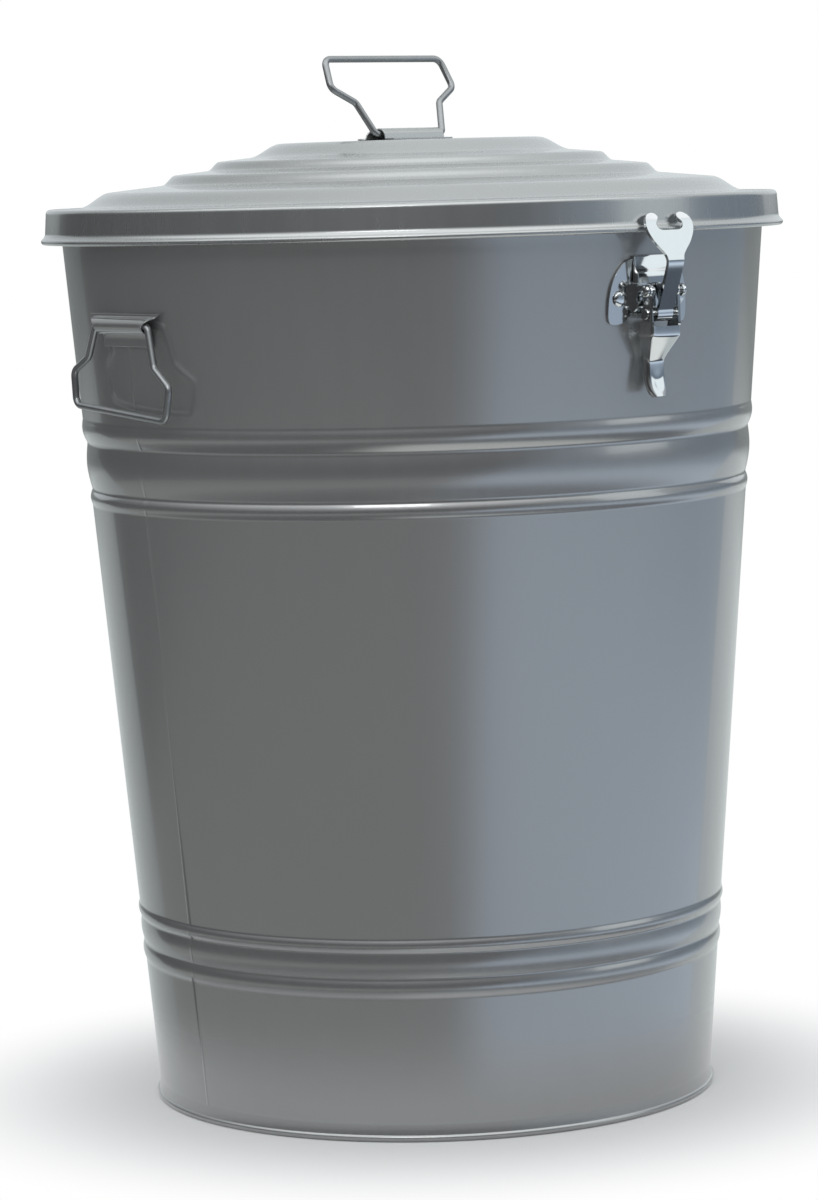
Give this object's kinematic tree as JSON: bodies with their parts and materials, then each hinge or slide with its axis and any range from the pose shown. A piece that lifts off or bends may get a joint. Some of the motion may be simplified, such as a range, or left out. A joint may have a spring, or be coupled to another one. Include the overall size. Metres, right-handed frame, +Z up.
{
  "type": "trash can with lid",
  "caption": "Round tapered galvanized trash can with a stepped lift-off lid, wire bail handles and over-centre toggle latches that pull the lid down.",
  "frame": {"origin": "centre of the can's foot, on the surface that it stands on", "axes": "+Z up along the can's axis, -Y towards the front latch, +X towards the right handle"},
  "size_m": [0.4108, 0.4266, 0.5766],
  "materials": {
    "galvanized_body": "satin galvanized sheet",
    "galvanized_lid": "brighter satin galvanized sheet",
    "wire": "grey galvanized wire",
    "latch": "bright plated steel"
  },
  "bodies": {
    "body": {"body_shell": "galvanized_body", "bottom_pan": "galvanized_body", "handle_bracket_left": "galvanized_body", "handle_bracket_right": "galvanized_body", "latch_base_front": "latch", "wall_rivet_front_left": "latch", "wall_rivet_front_right": "latch", "pivot_rivet_front_left": "latch", "pivot_rivet_front_right": "latch", "latch_base_rear": "latch", "wall_rivet_rear_left": "latch", "wall_rivet_rear_right": "latch", "pivot_rivet_rear_left": "latch", "pivot_rivet_rear_right": "latch"},
    "handle_left": {"handle_wire_left": "wire"},
    "handle_right": {"handle_wire_right": "wire"},
    "lid": {"lid_shell": "galvanized_lid", "lid_handle_bracket": "galvanized_lid"},
    "lid_handle": {"lid_handle_wire": "wire"},
    "lever_front": {"lever_front": "latch", "claw_pin_front": "latch"},
    "claw_front": {"claw_front": "latch"},
    "lever_rear": {"lever_rear": "latch", "claw_pin_rear": "latch"},
    "claw_rear": {"claw_rear": "latch"}
  },
  "joints": [
    {"name": "lid_lift", "type": "slide", "parent": "body", "child": "lid", "axis": [0, 0, 1], "range_m": [0, 0.2]},
    {"name": "lid_handle_swing", "type": "hinge", "parent": "lid", "child": "lid_handle", "pos_m": [0, 0, 0.533], "axis": [0.9986, 0.0523, 0], "range_deg": [-62, 114]},
    {"name": "handle_left_swing", "type": "hinge", "parent": "body", "child": "handle_left", "pos_m": [-0.19359, 0.01015, 0.43521], "axis": [0.0523, 0.9986, 0], "range_deg": [-3, 155]},
    {"name": "handle_right_swing", "type": "hinge", "parent": "body", "child": "handle_right", "pos_m": [0.19359, -0.01015, 0.43521], "axis": [-0.0523, -0.9986, 0], "range_deg": [-3, 155]},
    {"name": "lever_front_swing", "type": "hinge", "parent": "body", "child": "lever_front", "pos_m": [0, -0.20291, 0.447], "axis": [-1, 0, 0], "range_deg": [0, 95]},
    {"name": "claw_front_swing", "type": "hinge", "parent": "lever_front", "child": "claw_front", "pos_m": [0, -0.20021, 0.435], "axis": [-1, 0, 0], "range_deg": [-100, 0]},
    {"name": "lever_rear_swing", "type": "hinge", "parent": "body", "child": "lever_rear", "pos_m": [0, 0.20291, 0.447], "axis": [1, 0, 0], "range_deg": [0, 95]},
    {"name": "claw_rear_swing", "type": "hinge", "parent": "lever_rear", "child": "claw_rear", "pos_m": [0, 0.20021, 0.435], "axis": [1, 0, 0], "range_deg": [-100, 0]}
  ],
  "couplings": [
    {"joint": "claw_front_swing", "follows": "lever_front_swing", "ratio": -1.04},
    {"joint": "claw_rear_swing", "follows": "lever_rear_swing", "ratio": -1.04}
  ]
}
